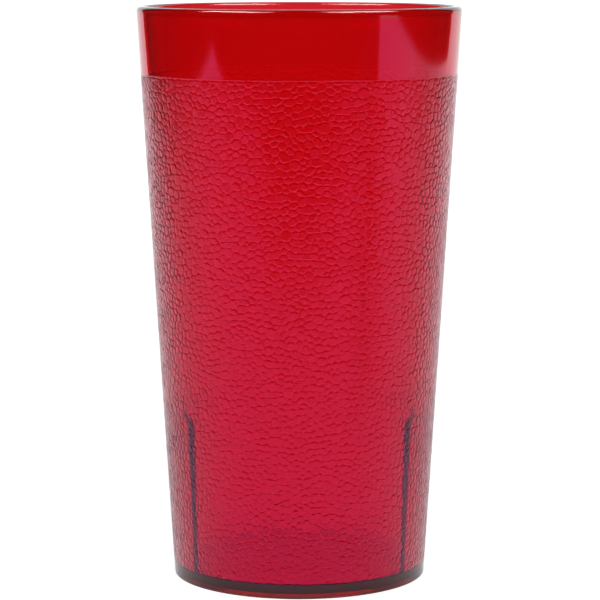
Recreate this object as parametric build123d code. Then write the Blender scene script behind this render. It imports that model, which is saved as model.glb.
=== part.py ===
from build123d import *
import math
import os

# Stacking drinking tumbler, moulded in one piece.
# Millimetres, +Z up. The origin is the centre of the foot, on the surface that the cup stands on.

# Outside of the cup, a plain cone from the foot to the rim
height = 152.0
rim_radius = 43.0
base_radius = 33.65
foot_chamfer = 0.3

# The lip is rounded on both sides of this narrow flat
lip_flat = 0.3

# Wall and floor, with the wall measured square to its surface
wall = 2.5
floor_thickness = 2.7
floor_corner = 0.5

# Underside, hollowed so that the cup stands on a narrow ring
recess_depth = 1.0
foot_width = 3.0

# Grained field, between the smooth band at the rim and the plain foot
smooth_band = 17.6
plain_foot = 3.8
grain_stand = 0.12

# Stacking pads, one at each side of the inside. Each spans an arc of the wall, in degrees, and
# its two ends slant in plan and lean back from the floor to the ledge, in degrees too.
stack_clearance = 0.15
ledge_width = 1.5
pad_at_floor = 0.55
pad_span = 72.0
pad_end_slant = 10.0
pad_end_draft = 2.4
pad_corner = 1.2

# Sizes that follow
slope = (rim_radius - base_radius) / height
wall_across = wall * math.sqrt(1 + slope ** 2)
lip_radius = (wall_across - lip_flat) / 2
floor_top = recess_depth + floor_thickness
grain_top = height - smooth_band


def outer_radius(z):
    """Radius of the smooth outer cone at a height"""
    return base_radius + slope * z


def inner_radius(z):
    """Radius of the inside of the wall at a height"""
    return outer_radius(z) - wall_across


# A cup of the same kind that stands inside this one stops at the height where its foot is as
# wide as the inside of the wall, less the clearance that its grain needs.
ledge_height = (wall_across + grain_stand + stack_clearance) / slope
pad_top_radius = inner_radius(ledge_height) - ledge_width
pad_floor_radius = inner_radius(floor_top) - pad_at_floor


def outline_of(points):
    """The half section through (radius, height) points, on the XZ plane"""
    return make_face(Polyline(*[(radius, 0, z) for radius, z in points], close=True))


def corner_at(outline, radius, z):
    """The corner of a half section that lies at a radius and a height"""
    return outline.vertices().sort_by_distance((radius, 0, z))[0]


def body():
    """The cup without its hollow: outer cone, grained field, foot ring and recess"""
    recess_radius = base_radius - foot_width
    field_low = outer_radius(plain_foot)
    field_high = outer_radius(grain_top)
    outline = outline_of([
        (0, recess_depth),
        (recess_radius - recess_depth, recess_depth),
        (recess_radius, 0),
        (base_radius, 0),
        (field_low, plain_foot),
        (field_low + grain_stand, plain_foot + grain_stand),
        (field_high + grain_stand, grain_top - grain_stand),
        (field_high, grain_top),
        (rim_radius, height),
        (0, height),
    ])
    outline = chamfer(corner_at(outline, base_radius, 0), foot_chamfer)
    outline = fillet(corner_at(outline, rim_radius, height), lip_radius)
    return revolve(outline, Axis.Z)


def hollow():
    """The plain hollow of the cup, with a rounded edge round its floor"""
    floor_radius = inner_radius(floor_top)
    outline = outline_of([
        (0, floor_top),
        (floor_radius, floor_top),
        (inner_radius(height), height),
        (0, height),
    ])
    return revolve(fillet(corner_at(outline, floor_radius, floor_top), floor_corner), Axis.Z)


def pad_end(side, end):
    """The plane of one end of the pad at one side, looking into the pad. Both are -1 or 1.

    At the ledge it crosses the inside of the wall where the pad's arc ends.
    """
    half_span = math.radians(pad_span / 2)
    slant = math.radians(pad_end_slant)
    draft = math.radians(pad_end_draft)
    reach = inner_radius(ledge_height)
    corner = (side * reach * math.cos(half_span), end * reach * math.sin(half_span), ledge_height)
    level = math.cos(draft)
    into_pad = (side * level * math.cos(slant), end * level * math.sin(slant), -math.sin(draft))
    return Plane(origin=corner, z_dir=into_pad)


def pad_space(side, end):
    """The space that one half of a pad may fill, with its corner at the ledge rounded"""
    past_wall = 2 * rim_radius
    low_corner = (min(0, side * past_wall), min(0, end * past_wall), 0)
    space = Pos(*low_corner) * Box(past_wall, past_wall, ledge_height, align=Align.MIN)
    cut = pad_end(side, end)
    space = split(space, bisect_by=cut, keep=Keep.TOP)
    ledge_end = space.edges().group_by(Axis.Z)[-1].sort_by_distance(cut.origin)[0]
    return fillet(ledge_end, pad_corner)


def pads():
    """Both stacking pads, from the floor up to their ledges, reaching out into the wall"""
    between = revolve(outline_of([
        (0, 0),
        (pad_floor_radius, floor_top),
        (pad_top_radius, ledge_height),
        (0, ledge_height),
    ]), Axis.Z)
    return [pad_space(side, -1) + pad_space(side, 1) - between for side in (-1, 1)]


def tumbler():
    """The finished cup, with the inner edge of its lip rounded"""
    cup = body() - (hollow() - pads())
    lip = cup.edges().filter_by(GeomType.CIRCLE).sort_by_distance((inner_radius(height), 0, height))
    return fillet(lip[0], lip_radius)


shape = tumbler()
shape.label = "tumbler"
os.makedirs("parts", exist_ok=True)
export_step(shape, "parts/tumbler.step")
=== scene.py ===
import math
import random

import bmesh
import bpy
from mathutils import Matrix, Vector, kdtree


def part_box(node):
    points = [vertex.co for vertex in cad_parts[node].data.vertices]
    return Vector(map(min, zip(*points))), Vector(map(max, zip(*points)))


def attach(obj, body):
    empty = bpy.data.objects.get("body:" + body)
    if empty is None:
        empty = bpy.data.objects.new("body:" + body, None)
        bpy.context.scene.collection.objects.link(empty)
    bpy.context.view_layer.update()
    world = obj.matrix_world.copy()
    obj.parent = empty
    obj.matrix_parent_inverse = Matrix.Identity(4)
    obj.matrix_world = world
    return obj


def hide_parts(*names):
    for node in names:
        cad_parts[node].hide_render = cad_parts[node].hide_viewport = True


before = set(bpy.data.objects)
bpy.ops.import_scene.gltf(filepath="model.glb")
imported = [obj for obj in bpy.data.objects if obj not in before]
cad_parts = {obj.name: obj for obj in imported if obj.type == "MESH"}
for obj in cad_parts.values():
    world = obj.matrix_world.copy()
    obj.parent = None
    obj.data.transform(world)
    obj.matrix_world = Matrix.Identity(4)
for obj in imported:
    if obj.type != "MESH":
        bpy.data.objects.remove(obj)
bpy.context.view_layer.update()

FOOT_LOW, RIM_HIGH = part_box("tumbler")

# Sizes of the cup in metres, as moulded
MM = 0.001
HEIGHT = RIM_HIGH.z
RIM_RADIUS = 42.99 * MM
BASE_RADIUS = 33.64 * MM
WALL = 2.5 * MM
RECESS_DEPTH = 1.0 * MM
FOOT_WIDTH = 3.0 * MM
FOOT_ROUND = 0.45 * MM
FLOOR_THICKNESS = 2.7 * MM
FLOOR_ROUND = 0.5 * MM
LIP_FLAT = 0.3 * MM
SMOOTH_BAND = 17.6 * MM
PLAIN_FOOT = 3.8 * MM
GRAIN_STAND = 0.12 * MM
STACK_CLEARANCE = 0.15 * MM
LEDGE_WIDTH = 1.5 * MM
LEDGE_EDGE = 0.4 * MM
PAD_AT_FLOOR = 0.55 * MM
PAD_HALF_SPAN = math.radians(38.0)
PAD_END_SLANT = math.radians(5.0)
PAD_END_DRAFT = math.radians(1.6)
PAD_CORNER = 1.2 * MM

SLOPE = (RIM_RADIUS - BASE_RADIUS) / HEIGHT
WALL_ACROSS = WALL * math.sqrt(1 + SLOPE ** 2)
LIP_RADIUS = (WALL_ACROSS - LIP_FLAT) / 2
FLOOR_TOP = RECESS_DEPTH + FLOOR_THICKNESS
FLOOR_ROUND_TOP = FLOOR_TOP + FLOOR_ROUND
GRAIN_TOP = HEIGHT - SMOOTH_BAND
LEDGE_HEIGHT = (WALL_ACROSS + GRAIN_STAND + STACK_CLEARANCE) / SLOPE

# The grain: pebbles that grow from scattered seeds until they meet. The field is first ruled into
# squares by columns and rows, and each square joins the pebble of the nearest seed.
COLUMNS = 256
GRAIN_ROWS = 150
SEED_TRIES = 120000
SEED_DISTANCE = 1.44 * MM
PEBBLE_STRETCH = 1.0
RELAXED = 2
BAND_STEP = 0.25 * MM
GROOVE_LIFT = -0.04 * MM
PEBBLE_SLOPES = (0.20 * MM, 0.28 * MM, 0.36 * MM, 0.44 * MM)
PEBBLE_HEIGHT = 0.088 * MM
PEBBLE_TILT = 0.025
PEBBLE_SUNK = 0.5
PEBBLE_DRAWN_IN = 0.18
STEEPEST = 0.13
GRAIN_SEED = 11
SHARP_FROM = math.radians(35)

# Columns of the half-quarter of the inside that follow the two ends of a pad's end face
PAD_FOOT_COLUMN = 38
PAD_FACE_COLUMN = 42
STEP = 2 * math.pi / COLUMNS

# Camera, as the photograph was taken
CAMERA_SIDE = 0.2 * MM
CAMERA_BACK = 705.3 * MM
CAMERA_HEIGHT = 169.8 * MM
CAMERA_DOWN = math.radians(7.76)
CAMERA_LENS = 159.6


# The pale sweep under and behind the cup
SWEEP_LEFT = -0.91
SWEEP_RIGHT = 1.15
SWEEP_FRONT = (-0.47, -0.75)
SWEEP_BACK = 1.3
SWEEP_HEIGHT = 1.5
SWEEP_TURN = 0.3

# Painted shade on the glowing sweep in front, round the place of the camera: its centre, the distances
# between which it fades, where it ends towards the far front, and how much glow the painted shade leaves
PAINTED_SHADE_CENTRE = (0.0, -0.85, 0.0)
PAINTED_SHADE_REACH = (0.41, 0.53)
PAINTED_SHADE_FAR_FRONT = (-0.58, -0.54)
PAINTED_SHADE_LIGHT = 0.03

# A painted shadow on the glowing sweep in front on the right, a dark strip that points at the cup: the turns
# of its two sides and how near it comes
SHADOW_LEFT = (-0.79, -0.75)
SHADOW_RIGHT = (-0.59, -0.56)
SHADOW_NEAR = (0.18, 0.28)

# Painted shade on the glowing sweep under the cup: how dark it is, and the distances from its axis between
# which the painted shade ends
PAINTED_UNDER_SHADE_LIGHT = 0.65
PAINTED_UNDER_SHADE_REACH = (0.031, 0.045)


def outer_radius(z):
    return BASE_RADIUS + SLOPE * z


def inner_radius(z):
    return outer_radius(z) - WALL_ACROSS


def arc(centre, radius, start, end, pieces):
    """Points on an arc of the half section, with the angles in degrees from the radius's direction"""
    points = []
    for number in range(pieces + 1):
        angle = math.radians(start + (end - start) * number / pieces)
        points.append((centre[0] + radius * math.cos(angle), centre[1] + radius * math.sin(angle)))
    return points


def grain_line(number):
    """Height of one of the lines between the rows of pebbles"""
    low = PLAIN_FOOT + GRAIN_STAND
    high = GRAIN_TOP - BAND_STEP
    return low + (high - low) * number / GRAIN_ROWS


def foot_section():
    """Half section of the underside and the foot, from the axis to the bottom of the grain"""
    ring_inner = BASE_RADIUS - FOOT_WIDTH
    recess = ring_inner - RECESS_DEPTH
    corner = (BASE_RADIUS - FOOT_ROUND + SLOPE * FOOT_ROUND, FOOT_ROUND)
    middle = [(0, RECESS_DEPTH), (0.4 * recess, RECESS_DEPTH), (0.8 * recess, RECESS_DEPTH)]
    edge = [(recess, RECESS_DEPTH), (ring_inner, 0)]
    return middle + edge + arc(corner, FOOT_ROUND, -90, 0, 4) + [(outer_radius(PLAIN_FOOT), PLAIN_FOOT)]


def grain_section():
    """Half section of the grained field, one point for each line between its rows"""
    lines = [grain_line(number) for number in range(GRAIN_ROWS + 1)]
    return [(outer_radius(z) + GROOVE_LIFT, z) for z in lines]


def rim_section():
    """Half section of the smooth band and the lip, up to the inside of the wall"""
    lip_z = HEIGHT - LIP_RADIUS
    outer = (outer_radius(lip_z) - LIP_RADIUS, lip_z)
    inner = (inner_radius(lip_z) + LIP_RADIUS, lip_z)
    band = [(outer_radius(z), z) for z in (GRAIN_TOP, GRAIN_TOP + CLOSE_ROW, lip_z - CLOSE_ROW)]
    return band + arc(outer, LIP_RADIUS, 0, 90, 7) + arc(inner, LIP_RADIUS, 90, 180, 7)


# Heights of the rows down the inside of the wall. The rows under the ledge are close together,
# so that the rounded corners of the pads have their shape.
CLOSE_ROW = 0.4 * MM
WALL_ROWS = [z * MM for z in (150.4, 140, 120, 100, 80, 64, 54, 49)]
UNDER_LEDGE = [drop * MM for drop in (0.0, 0.15, 0.35, 0.6, 0.9, 1.2, 3.0, 8.0, 15.0, 22.0, 29.0, 35.0)]


def inside_section():
    """Half section of the inside of the wall and the floor, down to the axis"""
    rows = WALL_ROWS + [LEDGE_HEIGHT + LEDGE_EDGE] + [LEDGE_HEIGHT - drop for drop in UNDER_LEDGE]
    wall = [(inner_radius(z), z) for z in rows]
    corner = (inner_radius(FLOOR_ROUND_TOP) - FLOOR_ROUND, FLOOR_ROUND_TOP)
    floor = [(0.8 * corner[0], FLOOR_TOP), (0.4 * corner[0], FLOOR_TOP), (0, FLOOR_TOP)]
    return wall + arc(corner, FLOOR_ROUND, 0, -90, 6) + floor


def spun_cup(bm):
    """Turns the half section round the axis into the closed wall of the cup"""
    section = foot_section() + grain_section() + rim_section() + inside_section()
    corners = [bm.verts.new((radius, 0, z)) for radius, z in section]
    sides = [bm.edges.new(pair) for pair in zip(corners, corners[1:])]
    bmesh.ops.spin(bm, geom=corners + sides, cent=(0, 0, 0), axis=(0, 0, 1), angle=2 * math.pi,
                   steps=COLUMNS, use_merge=True)
    bmesh.ops.remove_doubles(bm, verts=bm.verts, dist=0.001 * MM)
    bmesh.ops.recalc_face_normals(bm, faces=bm.faces)


def in_field(face):
    """Whether a face lies between the lowest and the highest line of the grain"""
    return grain_line(0) < face.calc_center_median().z < grain_line(GRAIN_ROWS)


def spread(angle, z):
    """Place of a point of the field when its surface is laid flat and its width is drawn in"""
    return Vector((angle * outer_radius(HEIGHT / 2) / PEBBLE_STRETCH, 0, z))


def scattered_seeds():
    """Seeds of the pebbles, thrown at random and kept where no earlier seed is too near"""
    rng = random.Random(GRAIN_SEED)
    once_round = spread(2 * math.pi, 0).x
    boxes_round = int(once_round / SEED_DISTANCE)
    boxes = {}
    for attempt in range(SEED_TRIES):
        angle = rng.uniform(0, 2 * math.pi)
        place = spread(angle, rng.uniform(grain_line(0), grain_line(GRAIN_ROWS)))
        column = int(place.x / once_round * boxes_round)
        row = int(place.z / SEED_DISTANCE)
        near = []
        for side in (-1, 0, 1):
            for level in (-1, 0, 1):
                near += boxes.get(((column + side) % boxes_round, row + level), [])
        for other in near:
            aside = (place.x - other.x + once_round / 2) % once_round - once_round / 2
            if math.hypot(aside, place.z - other.z) < SEED_DISTANCE:
                break
        else:
            boxes.setdefault((column, row), []).append(place)
    return [place for box in boxes.values() for place in box], once_round


def grow_pebbles(bm, grain):
    """Joins the squares of the field that have the same nearest seed, and relaxes the grooves"""
    seeds, once_round = scattered_seeds()
    tree = kdtree.KDTree(3 * len(seeds))
    for number, place in enumerate(seeds):
        for turns in (-1, 0, 1):
            tree.insert(place + Vector((turns * once_round, 0, 0)), number)
    tree.balance()
    owner = {}
    for face in bm.faces:
        middle = face.calc_center_median()
        radius = math.hypot(middle.x, middle.y)
        if not PLAIN_FOOT < middle.z < GRAIN_TOP or radius < outer_radius(middle.z) - 0.1 * MM:
            continue
        face[grain] = 1.0
        if in_field(face):
            angle = math.atan2(middle.y, middle.x) % (2 * math.pi)
            owner[face] = tree.find(spread(angle, middle.z))[1]
    inner = []
    for edge in bm.edges:
        sides = [owner.get(face) for face in edge.link_faces]
        if len(sides) == 2 and sides[0] is not None and sides[0] == sides[1]:
            inner.append(edge)
    bmesh.ops.dissolve_edges(bm, edges=inner, use_verts=True)
    bmesh.ops.dissolve_verts(bm, verts=[vert for vert in bm.verts if len(vert.link_edges) == 2])
    knots = [vert for vert in bm.verts if all(face[grain] for face in vert.link_faces)]
    for number in range(RELAXED):
        bmesh.ops.smooth_vert(bm, verts=knots, factor=0.5, use_axis_x=True, use_axis_y=True, use_axis_z=True)
        for vert in knots:
            around = outer_radius(vert.co.z) + GROOVE_LIFT
            around /= math.hypot(vert.co.x, vert.co.y)
            vert.co.x *= around
            vert.co.y *= around


def room_in(cell):
    """How far the corners of a cell can move inwards before one of its sides is used up"""
    sides = [loop.link_loop_next.vert.co - loop.vert.co for loop in cell.loops]
    halves = []
    for before, after in zip(sides[-1:] + sides, sides):
        way = math.copysign(1, before.cross(after).dot(cell.normal))
        halves.append(way * math.sin(before.angle(after) / 2))
    rooms = []
    for side, here, ahead in zip(sides, halves, halves[1:] + halves[:1]):
        rooms.append(side.length / max(here + ahead, 0.01))
    return min(rooms)


def raise_pebbles(bm, cells):
    """Lifts each cell off its grooves with sloping sides, and tips its top a little"""
    rng = random.Random(GRAIN_SEED + 2)
    groups = [[] for slope in PEBBLE_SLOPES]
    for cell in cells:
        room = room_in(cell)
        size = sum(room > 1.15 * slope for slope in PEBBLE_SLOPES)
        if size:
            groups[size - 1].append(cell)
    print("cells", len(cells), "raised", [len(group) for group in groups],
          [sum(len(c.verts) == n for c in cells) for n in range(3, 14)])
    for slope, group in zip(PEBBLE_SLOPES, groups):
        bmesh.ops.inset_individual(bm, faces=group, thickness=slope, use_even_offset=False,
                                   depth=PEBBLE_HEIGHT * slope / PEBBLE_SLOPES[-1])
    cells = [cell for group in groups for cell in group]
    for cell in cells:
        middle = cell.calc_center_median()
        lean = Vector([rng.uniform(-PEBBLE_TILT, PEBBLE_TILT) for axis in range(3)])
        lower = rng.uniform(0, PEBBLE_SUNK) * PEBBLE_HEIGHT
        along = Vector((0, 0, 1)).cross(cell.normal).normalized()
        for vert in cell.verts:
            place = vert.co - middle
            vert.co += cell.normal * (lean.dot(place) - lower)
            vert.co -= along * along.dot(place) * PEBBLE_DRAWN_IN


def mark_painted_flank_light_and_shade(bm, grain):
    """Marks how much each small face of the grain looks up or down, with 0.5 for plain wall; the material
    paints shade on the flanks that look up and light on those that look down
    """
    flank_light_and_shade = bm.faces.layers.float.new("flank_light_and_shade")
    for face in bm.faces:
        face.smooth = not face[grain]
        lean = (face.normal.z + SLOPE) / STEEPEST if face[grain] else 0
        face[flank_light_and_shade] = min(1, max(0, 0.5 + 0.5 * lean))


def shape_pads(bm):
    """Draws the inside of the wall in over both stacking pads"""
    level = math.cos(PAD_END_SLANT), math.sin(PAD_END_SLANT)
    reach = inner_radius(LEDGE_HEIGHT)
    end_at_ledge = reach * (math.cos(PAD_HALF_SPAN) * level[0] + math.sin(PAD_HALF_SPAN) * level[1])
    pad_top = reach - LEDGE_WIDTH
    pad_foot = inner_radius(FLOOR_TOP) - PAD_AT_FLOOR

    def pad_radius(z):
        return pad_foot + (pad_top - pad_foot) * (z - FLOOR_TOP) / (LEDGE_HEIGHT - FLOOR_TOP)

    def end_distance(z):
        """How far the end face stands from the axis, measured square to it"""
        below = LEDGE_HEIGHT - z
        distance = end_at_ledge - below * math.tan(PAD_END_DRAFT)
        if below < PAD_CORNER:
            distance += PAD_CORNER - math.sqrt(PAD_CORNER ** 2 - (PAD_CORNER - below) ** 2)
        return distance

    foot_turn = PAD_FOOT_COLUMN * STEP
    face_turn = PAD_FACE_COLUMN * STEP
    quarter_turn = math.pi / 2
    for vert in bm.verts:
        z = vert.co.z
        radius = math.hypot(vert.co.x, vert.co.y)
        on_wall = radius > 0.7 * inner_radius(z) and radius < inner_radius(z) + 0.1 * MM
        if not on_wall or z > HEIGHT - SMOOTH_BAND:
            continue
        # Turn from the front or the back of the cup towards the nearer pad
        turn = math.atan2(abs(vert.co.x), abs(vert.co.y))
        shape_z = min(max(z, FLOOR_ROUND_TOP), LEDGE_HEIGHT)
        distance = end_distance(shape_z)
        foot_at = math.asin(distance / inner_radius(shape_z)) - PAD_END_SLANT
        face_at = math.asin(distance / pad_radius(shape_z)) - PAD_END_SLANT
        if turn <= foot_turn + STEP / 4:
            new_turn = turn * foot_at / foot_turn
            pad = radius
        elif turn < face_turn - STEP / 4:
            share = (turn - foot_turn) / (face_turn - foot_turn)
            new_turn = foot_at + (face_at - foot_at) * share
            pad = distance / math.sin(new_turn + PAD_END_SLANT)
        else:
            share = (turn - face_turn) / (quarter_turn - face_turn)
            new_turn = face_at + (quarter_turn - face_at) * share
            pad = pad_radius(shape_z)
        fade = min(1, max(0, (HEIGHT - SMOOTH_BAND - z) / (HEIGHT - SMOOTH_BAND - 64 * MM)))
        new_turn = turn + (new_turn - turn) * fade
        if z <= LEDGE_HEIGHT + 0.01 * MM:
            radius = min(radius, pad)
        sign_x = math.copysign(1, vert.co.x) if abs(vert.co.x) > 0.01 * MM else 0
        sign_y = math.copysign(1, vert.co.y) if abs(vert.co.y) > 0.01 * MM else 0
        vert.co.x = sign_x * radius * math.sin(new_turn)
        vert.co.y = sign_y * radius * math.cos(new_turn)


def build_cup():
    bm = bmesh.new()
    spun_cup(bm)
    shape_pads(bm)
    grain = bm.faces.layers.float.new("grain")
    grow_pebbles(bm, grain)
    bm.normal_update()
    raise_pebbles(bm, [face for face in bm.faces if face[grain] and in_field(face)])
    bmesh.ops.recalc_face_normals(bm, faces=bm.faces)
    for edge in bm.edges:
        if edge.calc_face_angle(0) > SHARP_FROM:
            edge.smooth = False
    mark_painted_flank_light_and_shade(bm, grain)
    mesh = bpy.data.meshes.new("moulded_cup")
    bm.to_mesh(mesh)
    print("triangles", sum(len(p.vertices) - 2 for p in mesh.polygons), "open edges",
          sum(1 for e in bm.edges if len(e.link_faces) != 2))
    bm.free()
    cup = bpy.data.objects.new("moulded_cup", mesh)
    bpy.context.scene.collection.objects.link(cup)
    return cup


# Colours that light takes on at the surface of the plastic: the smooth wall, painted light on the pebble
# flanks that look down, the pebble tops, painted shade on the flanks that look up, and a darker colour
# towards the lip
SMOOTH_WALL = (0.82, 0.32, 0.38, 1)
PAINTED_LIGHT_FLANK = (1.0, 0.40, 0.47, 1)
PEBBLE_TOP = (0.90, 0.36, 0.43, 1)
PAINTED_SHADE_FLANK = (0.64, 0.20, 0.25, 1)
DEEP_LIP = (0.66, 0.12, 0.20, 1)

# Colours of what the surface reflects, on the wall and on the plain parts near its two ends
WALL_SHEEN = (1, 0.2, 0.75, 1)
PALE_SHEEN = (1, 0.6, 0.65, 1)
LOW_REACH = (0.044, 0.048)
LIP_REACH = (0.1495, 0.1503)


def graded(nodes, links, value, reach, strengths):
    """A soft change of strength from one place to another"""
    grade = nodes.new("ShaderNodeMapRange")
    grade.interpolation_type = "SMOOTHSTEP"
    grade.inputs["From Min"].default_value, grade.inputs["From Max"].default_value = reach
    grade.inputs["To Min"].default_value, grade.inputs["To Max"].default_value = strengths
    links.new(value, grade.inputs["Value"])
    return grade.outputs["Result"]


def joined(nodes, links, operation, first, second):
    """The result of a sum or a comparison of two values"""
    both = nodes.new("ShaderNodeMath")
    both.operation = operation
    links.new(first, both.inputs[0])
    links.new(second, both.inputs[1])
    return both.outputs["Value"]


def blended(nodes, links, share, first, second):
    """A colour between two others"""
    blend = nodes.new("ShaderNodeMix")
    blend.data_type = "RGBA"
    links.new(share, blend.inputs["Factor"])
    blend.inputs["A"].default_value = first
    blend.inputs["B"].default_value = second
    return blend.outputs["Result"]


def clear_red_plastic():
    material = bpy.data.materials.new("clear_red_plastic")
    material.use_nodes = True
    nodes = material.node_tree.nodes
    links = material.node_tree.links
    shader = nodes["Principled BSDF"]
    # Painted shade on the pebble flanks that look up and painted light on those that look down, from how
    # much each flank looks up or down as marked on the mesh
    flank_light_and_shade = nodes.new("ShaderNodeAttribute")
    flank_light_and_shade.attribute_name = "flank_light_and_shade"
    depth = nodes.new("ShaderNodeValToRGB")
    ramp = depth.color_ramp
    ramp.elements[0].color = PAINTED_LIGHT_FLANK
    ramp.elements[1].color = PAINTED_SHADE_FLANK
    ramp.elements.new(0.5).color = PEBBLE_TOP
    links.new(flank_light_and_shade.outputs["Fac"], depth.inputs["Fac"])
    grain = nodes.new("ShaderNodeAttribute")
    grain.attribute_name = "grain"
    colour = nodes.new("ShaderNodeMix")
    colour.data_type = "RGBA"
    links.new(grain.outputs["Fac"], colour.inputs["Factor"])
    links.new(depth.outputs["Color"], colour.inputs["B"])
    links.new(colour.outputs["Result"], shader.inputs["Base Color"])
    place = nodes.new("ShaderNodeTexCoord")
    axes = nodes.new("ShaderNodeSeparateXYZ")
    links.new(place.outputs["Object"], axes.inputs[0])
    lip = graded(nodes, links, axes.outputs["Z"], LIP_REACH, (0.0, 1.0))
    links.new(blended(nodes, links, lip, SMOOTH_WALL, DEEP_LIP), colour.inputs["A"])
    satin = graded(nodes, links, grain.outputs["Fac"], (0.0, 1.0), (0.05, 0.19))
    links.new(satin, shader.inputs["Roughness"])
    low = graded(nodes, links, axes.outputs["Z"], LOW_REACH, (1.0, 0.0))
    ends = joined(nodes, links, "MAXIMUM", low, lip)
    plain_ends = joined(nodes, links, "SUBTRACT", ends, grain.outputs["Fac"])
    sheen = blended(nodes, links, plain_ends, WALL_SHEEN, PALE_SHEEN)
    links.new(sheen, shader.inputs["Specular Tint"])
    shader.inputs["IOR"].default_value = 1.57
    shader.inputs["Transmission Weight"].default_value = 1.0
    tint = nodes.new("ShaderNodeVolumeAbsorption")
    tint.inputs["Color"].default_value = (0.922, 0.0, 0.0, 1)
    tint.inputs["Density"].default_value = 900.0
    links.new(tint.outputs["Volume"], nodes["Material Output"].inputs["Volume"])
    return material


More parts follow.
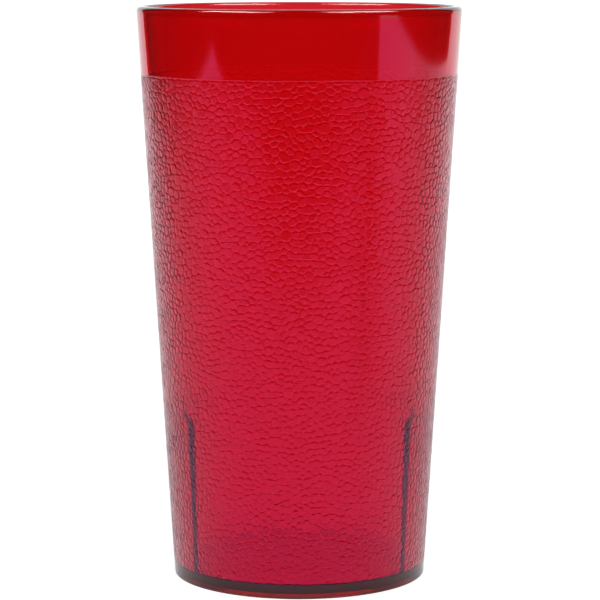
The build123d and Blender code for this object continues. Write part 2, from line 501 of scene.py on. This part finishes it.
def sweep():
    """The wide pale surface that the cup stands on, which turns up into a backdrop behind it; it glows, with
    painted light and painted shade in its glow
    """
    bm = bmesh.new()
    bmesh.ops.create_grid(bm, x_segments=1, y_segments=1, size=0.5)
    for vert in bm.verts:
        vert.co.y = SWEEP_BACK if vert.co.y > 0 else SWEEP_FRONT[vert.co.x > 0]
        vert.co.x = SWEEP_RIGHT if vert.co.x > 0 else SWEEP_LEFT
        vert.co.z = -0.05 * MM
    back = [edge for edge in bm.edges if all(vert.co.y > 0 for vert in edge.verts)]
    wall = bmesh.ops.extrude_edge_only(bm, edges=back)["geom"]
    tops = [part for part in wall if isinstance(part, bmesh.types.BMVert)]
    bmesh.ops.translate(bm, verts=tops, vec=(0, 0, SWEEP_HEIGHT))
    bmesh.ops.bevel(bm, geom=back, offset=SWEEP_TURN, offset_type="OFFSET", affect="EDGES",
                    segments=16, profile=0.5, material=-1)
    mesh = bpy.data.meshes.new("sweep")
    bm.to_mesh(mesh)
    bm.free()
    for polygon in mesh.polygons:
        polygon.use_smooth = True
    surface = bpy.data.objects.new("sweep", mesh)
    bpy.context.scene.collection.objects.link(surface)
    material = bpy.data.materials.new("sweep_white")
    material.use_nodes = True
    nodes = material.node_tree.nodes
    links = material.node_tree.links
    nodes.remove(nodes["Principled BSDF"])
    glow = nodes.new("ShaderNodeEmission")
    place = nodes.new("ShaderNodeTexCoord")
    axes = nodes.new("ShaderNodeSeparateXYZ")
    links.new(place.outputs["Object"], axes.inputs[0])
    # Painted light: the glow grows brighter towards the right and towards the back
    side = graded(nodes, links, axes.outputs["X"], (0.4, 1.1), (1.15, 1.3))
    back = graded(nodes, links, axes.outputs["Y"], (0.05, 0.9), (0.92, 1.05))
    behind = graded(nodes, links, axes.outputs["Y"], (-0.05, 0.05), (0.0, 1.0))
    # Painted shade in front round the camera, and towards the far front
    reach = nodes.new("ShaderNodeVectorMath")
    reach.operation = "DISTANCE"
    links.new(place.outputs["Object"], reach.inputs[0])
    reach.inputs[1].default_value = PAINTED_SHADE_CENTRE
    painted_front_shade = graded(nodes, links, reach.outputs["Value"], PAINTED_SHADE_REACH, (PAINTED_SHADE_LIGHT, 1.0))
    # Painted shadow: a dark strip in front on the right, between two turns about the cup's axis, that starts
    # some way from the cup
    turn = joined(nodes, links, "ARCTAN2", axes.outputs["Y"], axes.outputs["X"])
    middle = nodes.new("ShaderNodeVectorMath")
    middle.operation = "LENGTH"
    links.new(place.outputs["Object"], middle.inputs[0])
    far_front = graded(nodes, links, axes.outputs["Y"], PAINTED_SHADE_FAR_FRONT, (PAINTED_SHADE_LIGHT, 1.0))
    left_of = graded(nodes, links, turn, SHADOW_LEFT, (1.0, PAINTED_SHADE_LIGHT))
    right_of = graded(nodes, links, turn, SHADOW_RIGHT, (0.0, 1.0))
    near = graded(nodes, links, middle.outputs["Value"], SHADOW_NEAR, (1.0, 0.0))
    open_front = joined(nodes, links, "MINIMUM", far_front, left_of)
    beside = joined(nodes, links, "MAXIMUM", near, right_of)
    outside_painted_shade = joined(nodes, links, "MAXIMUM", open_front, beside)
    painted_shade = joined(nodes, links, "MULTIPLY", outside_painted_shade, painted_front_shade)
    front = joined(nodes, links, "MULTIPLY", side, painted_shade)
    field = nodes.new("ShaderNodeMix")
    links.new(behind, field.inputs["Factor"])
    links.new(front, field.inputs["A"])
    links.new(back, field.inputs["B"])
    # Painted shade under the cup, fading out between two distances from its axis
    under = graded(nodes, links, middle.outputs["Value"], PAINTED_UNDER_SHADE_REACH, (PAINTED_UNDER_SHADE_LIGHT, 1.0))
    shaded = joined(nodes, links, "MULTIPLY", field.outputs["Result"], under)
    path = nodes.new("ShaderNodeLightPath")
    seen = nodes.new("ShaderNodeMix")
    links.new(path.outputs["Is Camera Ray"], seen.inputs["Factor"])
    links.new(shaded, seen.inputs["A"])
    seen.inputs["B"].default_value = 1.01
    links.new(seen.outputs["Result"], glow.inputs["Strength"])
    paper = nodes.new("ShaderNodeBsdfDiffuse")
    paper.inputs["Color"].default_value = (0.5, 0.5, 0.5, 1)
    both = nodes.new("ShaderNodeAddShader")
    links.new(glow.outputs[0], both.inputs[0])
    links.new(paper.outputs[0], both.inputs[1])
    links.new(both.outputs[0], nodes["Material Output"].inputs["Surface"])
    material.cycles.emission_sampling = "NONE"
    surface.data.materials.append(material)


def camera():
    data = bpy.data.cameras.new("camera")
    data.lens = CAMERA_LENS
    eye = bpy.data.objects.new("camera", data)
    eye.location = (CAMERA_SIDE, -CAMERA_BACK, CAMERA_HEIGHT)
    eye.rotation_euler = (math.pi / 2 - CAMERA_DOWN, 0, 0)
    bpy.context.scene.collection.objects.link(eye)
    bpy.context.scene.camera = eye


def softbox(name, place, aim, width, height, power):
    """A square or oblong light that shines on the cup alone"""
    data = bpy.data.lights.new(name, "AREA")
    data.shape = "RECTANGLE"
    data.size = width
    data.size_y = height
    data.energy = power
    lamp = bpy.data.objects.new(name, data)
    lamp.location = place
    lamp.rotation_euler = (Vector(aim) - Vector(place)).to_track_quat("-Z", "Y").to_euler()
    lamp.visible_diffuse = False
    lamp.visible_transmission = False
    bpy.context.scene.collection.objects.link(lamp)


def light():
    world = bpy.data.worlds.new("studio")
    bpy.context.scene.world = world
    world.use_nodes = True
    room = world.node_tree.nodes["Background"]
    room.inputs["Color"].default_value = (1, 1, 1, 1)
    room.inputs["Strength"].default_value = 0.03
    softbox("softbox_left", (-1.15, -0.61, 1.81), (0, 0, 0.15), 1.6, 0.9, 62.0)
    softbox("softbox_right", (1.1, -0.65, 1.81), (0, 0, 0.15), 1.6, 0.9, 62.0)


cup = build_cup()
cup.data.materials.append(clear_red_plastic())
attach(cup, "root")
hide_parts("tumbler")
sweep()
camera()
light()

scene = bpy.context.scene
scene.view_settings.view_transform = "Standard"
scene.cycles.max_bounces = 24
scene.cycles.transmission_bounces = 24
scene.cycles.glossy_bounces = 12
scene.cycles.diffuse_bounces = 0
